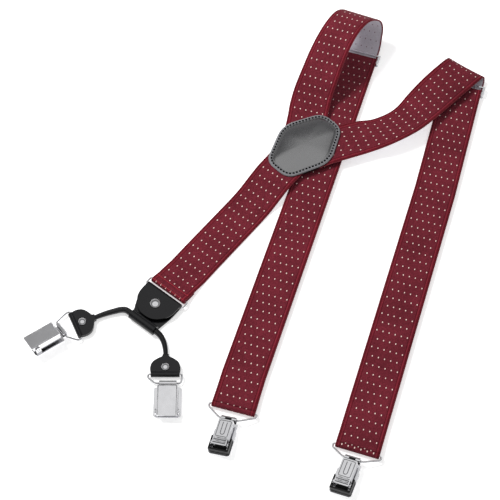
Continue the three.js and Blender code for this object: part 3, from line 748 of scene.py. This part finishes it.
def make_cord():
    """A strip of leather rolled up: a round section with one seam groove, thinner at both ends."""
    points = [Vector(r) for r in smooth_rows(CORD_ROUTE, 6)]
    points.insert(0, points[0] + (points[0] - points[1]).normalized() * CORD_TUCK)
    points.append(points[-1] + (points[-1] - points[-2]).normalized() * CORD_TUCK)
    bm = bmesh.new()
    rows = []
    last = len(points) - 1
    for i, at in enumerate(points):
        tangent = (points[min(i + 1, last)] - points[max(i - 1, 0)]).normalized()
        side = tangent.cross(Vector((0, 0, 1))).normalized()
        lift = side.cross(tangent)
        fullness = math.sin(math.pi * min(1.0, CORD_TAPER * min(i, last - i) / last) / 2)
        share = CORD_END_SHARE + (1 - CORD_END_SHARE) * fullness
        verts = []
        for k in range(CORD_SIDES):
            angle = 2 * math.pi * k / CORD_SIDES
            groove = math.exp(-(((k - CORD_SEAM_SIDE) / CORD_SEAM_WIDTH) ** 2)) * CORD_SEAM_DEPTH
            radius = (CORD_R - groove) * share
            offset = side * math.cos(angle) * radius + lift * math.sin(angle) * radius
            verts.append(bm.verts.new(place(at + offset)))
        rows.append(verts)
    for a, b in zip(rows, rows[1:]):
        for k in range(CORD_SIDES):
            j = (k + 1) % CORD_SIDES
            bm.faces.new((a[k], a[j], b[j], b[k]))
    bm.faces.new(rows[0])
    bm.faces.new(rows[-1])
    piece = new_object("cord", bm, [LEATHER])
    settle(piece, "tab", "leather", "leather_cord")


make_cord()


# ------------------------------------------------------------------ carried-over metal and leather
def smooth_copy(node, material, width):
    """The CAD piece with its edges broken, in the same place."""
    source = NODES[node]
    piece = bpy.data.objects.new(node + "_finished", source.data.copy())
    bpy.context.scene.collection.objects.link(piece)
    bm = bmesh.new()
    bm.from_mesh(piece.data)
    bmesh.ops.remove_doubles(bm, verts=bm.verts, dist=1e-6)
    bmesh.ops.dissolve_limit(bm, angle_limit=math.radians(1.0), verts=bm.verts, edges=bm.edges)
    bm.to_mesh(piece.data)
    bm.free()
    piece.data.materials.clear()
    piece.data.materials.append(material)
    bevel(piece, width)
    for polygon in piece.data.polygons:
        polygon.use_smooth = True
    smooth = piece.modifiers.new("weighted", "WEIGHTED_NORMAL")
    smooth.keep_sharp = True
    return piece


def make_hardware():
    for node, body in sorted(
            (n, b) for b, names in frame["record"]["behaviour"]["bodies"].items() for n in names):
        if node.startswith(("clip_base", "clip_lever", "adjuster")):
            settle(smooth_copy(node, NICKEL, 0.22), body, "nickel", node)
        elif node.startswith("clip_grip"):
            settle(smooth_copy(node, PLASTIC, 0.2), body, "plastic", node)
        elif node.startswith(("bail", "back_ring", "clip_pin")) or "rivet" in node:
            settle(smooth_copy(node, NICKEL, 0.05), body, "nickel", node)
        elif node.startswith(("back_tab_leather", "leather_end")):
            settle(smooth_copy(node, LEATHER, 0.7), body, "leather", node)


make_hardware()


# ------------------------------------------------------------------ pressed marks on the clips
# The bail's upper wire in plan with the lower wire's height, then heading, yaw, roll, drop and shift.
CLIP_PLACES = {
    "front_left": ((*LEFT_BAR, 4.1), LEFT_END_HEADING, -0.8, 11, 9.7, -0.7),
    "front_right": ((*RIGHT_BAR, 4.1), RIGHT_END_HEADING, -4.5, 11, 8.6, -1.4),
    "back_left": ((-156.3, -86.6, 5.9), -65.3, 9, 18, 12, 0.8),
    "back_right": ((-83, -130, 2.4), 0, 0, 0, 7.6, 2.4),
}
LEVER_TOP = 5.7
RIDGE_SIDES = 8
FRAME_R = 0.26
FRAME_SPACING = 0.5
TONGUE_R = 0.3
TONGUE_HALF = 1.6
TONGUE_TOP = -5.6
TONGUE_ARC = -14.2  # middle of the arc that ends the tongue
RIB_HALF = 5.2
RIB_LINE_ROWS = (-20.4, -23.0)
RIB_LINE_R = 0.5
RIB_LINE_SINK = 0.15
RIB_ROWS = (-19.0, -21.7)
RIB_R = 0.55
RIB_SINK = 0.1
SLOT_HALF = 2.6
SLOT_Y = -0.4
SLOT_R = 1.0
SLOT_Z = 1.55
BACK_EDGE_HALF = 7.6
BACK_EDGE_Y = -4.2
BACK_EDGE_R = 0.5
BACK_SIDE_X = 7.3
BACK_SIDE_END = -29.0
BACK_SIDE_R = 0.4
BACK_SINK = 0.2


def clip_matrix(name):
    """Local frame of a clip: its lower wire on X, the jaw towards -Y, Z out of the lever."""
    (x, y, z), heading, yaw, roll, drop, shift = CLIP_PLACES[name]
    at = Vector((x, y, 0)) + along_vector(heading, -1) * drop + across_vector(heading, 0) * shift
    return heading_matrix(at.x, at.y, z, heading + yaw, roll)


def ridge(bm, points, radius, matrix, height, closed=False):
    """A round bar along a line of points, sunk about halfway so that it stands out as a low ridge."""
    rows = []
    count = len(points)
    for i, p in enumerate(points):
        after = points[(i + 1) % count] if closed or i + 1 < count else p
        before = points[i - 1] if closed or i else p
        tangent = (after - before).normalized()
        normal = Vector((-tangent.y, tangent.x))
        row = []
        for k in range(RIDGE_SIDES):
            angle = 2 * math.pi * k / RIDGE_SIDES
            q = p + normal * math.cos(angle) * radius
            z = height + math.sin(angle) * radius
            row.append(bm.verts.new(place(matrix @ Vector((q.x, q.y, z)))))
        rows.append(row)
    following = rows[1:] + rows[:1] if closed else rows[1:]
    for a, b in zip(rows, following):
        for k in range(RIDGE_SIDES):
            j = (k + 1) % RIDGE_SIDES
            bm.faces.new((a[k], a[j], b[j], b[k]))
    if not closed:
        bm.faces.new(rows[0])
        bm.faces.new(rows[-1])


def front_lever_marks(name):
    """Dark raised lines of painted shade that stand for the shaded grooves of the pressed frame and tongue
    and beside the ribs, ribs near the jaw, and a dark raised bar that stands for the slot at the hinge."""
    matrix = clip_matrix(name)
    corners = [(-4.7, -17.6, 1), (4.7, -17.6, 1), (4.7, -4.2, 1.2), (-4.7, -4.2, 1.2)]
    outer = resample(rounded_outline(corners), FRAME_SPACING)
    arc = [Vector((TONGUE_HALF * math.cos(a), TONGUE_ARC + TONGUE_HALF * math.sin(a)))
           for a in (math.pi * (1 + k / 12) for k in range(13))]
    tongue = [Vector((-TONGUE_HALF, TONGUE_TOP)), *arc, Vector((TONGUE_HALF, TONGUE_TOP))]
    # painted shade: these dark lines stand in for the shade in the pressed grooves
    lines = bmesh.new()
    ridge(lines, outer, FRAME_R, matrix, LEVER_TOP, closed=True)
    ridge(lines, tongue, TONGUE_R, matrix, LEVER_TOP)
    for y in RIB_LINE_ROWS:
        line = [Vector((-RIB_HALF, y)), Vector((RIB_HALF, y))]
        ridge(lines, line, RIB_LINE_R, matrix, LEVER_TOP - RIB_LINE_SINK)
    settle(new_object(f"lever_shade_lines_{name}", lines, [GROOVE_SHADE]), f"lever_{name}", "nickel")
    ribs = bmesh.new()
    for y in RIB_ROWS:
        line = [Vector((-RIB_HALF, y)), Vector((RIB_HALF, y))]
        ridge(ribs, line, RIB_R, matrix, LEVER_TOP - RIB_SINK)
    settle(new_object(f"lever_ribs_{name}", ribs, [NICKEL]), f"lever_{name}", "nickel")
    slot = bmesh.new()
    ridge(slot, [Vector((-SLOT_HALF, SLOT_Y)), Vector((SLOT_HALF, SLOT_Y))], SLOT_R, matrix, SLOT_Z)
    settle(new_object(f"hinge_slot_{name}", slot, [PLASTIC]), f"clip_{name}", "plastic")


def back_lever_marks(name):
    """A ridge along the hinge end and one along each side."""
    matrix = clip_matrix(name)
    bm = bmesh.new()
    height = LEVER_TOP - BACK_SINK
    edge = [Vector((-BACK_EDGE_HALF, BACK_EDGE_Y)), Vector((BACK_EDGE_HALF, BACK_EDGE_Y))]
    ridge(bm, edge, BACK_EDGE_R, matrix, height)
    for side in (-1, 1):
        x = side * BACK_SIDE_X
        ridge(bm, [Vector((x, BACK_EDGE_Y)), Vector((x, BACK_SIDE_END))], BACK_SIDE_R, matrix, height)
    settle(new_object(f"lever_marks_{name}", bm, [NICKEL]), f"lever_{name}", "nickel")


for clip_name in CLIP_PLACES:
    if clip_name.startswith("front"):
        front_lever_marks(clip_name)
    else:
        back_lever_marks(clip_name)


# ------------------------------------------------------------------ floor, light and view
FLOOR_SIZE = 4.0
FLOOR_GLOW = 0.5  # the photo's ground is pure white
FLOOR_DROP = 0.0002
KEY_PLACE = (-0.8, 0.5, 1.3)
KEY_SIZE = 0.45
KEY_POWER = 22.0


def make_floor():
    bm = bmesh.new()
    bmesh.ops.create_grid(bm, x_segments=1, y_segments=1, size=FLOOR_SIZE)
    s = Shader("floor")
    s.bsdf.inputs["Emission Color"].default_value = (1.0, 1.0, 1.0, 1.0)
    s.bsdf.inputs["Emission Strength"].default_value = FLOOR_GLOW
    floor = new_object("floor", bm, [s.finish(Base_Color=(0.86, 0.86, 0.86), Roughness=0.9)], False)
    floor.location.z = -FLOOR_DROP


def make_key_light():
    """One soft light. Glossy rays do not see it, so the metal reflects only the world's gradient."""
    data = bpy.data.lights.new("key", "AREA")
    data.shape = "RECTANGLE"
    data.size = KEY_SIZE
    data.size_y = KEY_SIZE
    data.energy = KEY_POWER
    light = bpy.data.objects.new("key", data)
    light.location = KEY_PLACE
    light.rotation_euler = (-Vector(KEY_PLACE)).to_track_quat("-Z", "Y").to_euler()
    light.visible_glossy = False
    bpy.context.scene.collection.objects.link(light)


def make_world():
    world = bpy.data.worlds.new("studio")
    bpy.context.scene.world = world
    world.use_nodes = True
    tree = world.node_tree
    background = tree.nodes["Background"]
    coordinate = tree.nodes.new("ShaderNodeTexCoord")
    split = tree.nodes.new("ShaderNodeSeparateXYZ")
    ramp = tree.nodes.new("ShaderNodeValToRGB")
    tree.links.new(coordinate.outputs["Generated"], split.inputs[0])
    tree.links.new(split.outputs[2], ramp.inputs[0])
    tree.links.new(ramp.outputs[0], background.inputs[0])
    stops = [
        (0.0, 0.55), (0.3, 0.25), (0.45, 0.42), (0.6, 0.12), (0.73, 0.12), (0.79, 0.75),
        (0.9, 0.85), (1.0, 0.75),
    ]
    elements = ramp.color_ramp.elements
    while len(elements) < len(stops):
        elements.new(0.5)
    for element, (position, value) in zip(elements, stops):
        element.position = position
        element.color = (value, value, value, 1.0)
    background.inputs[1].default_value = 1.0


make_floor()
make_world()
make_key_light()
bpy.context.scene.view_settings.view_transform = "Standard"
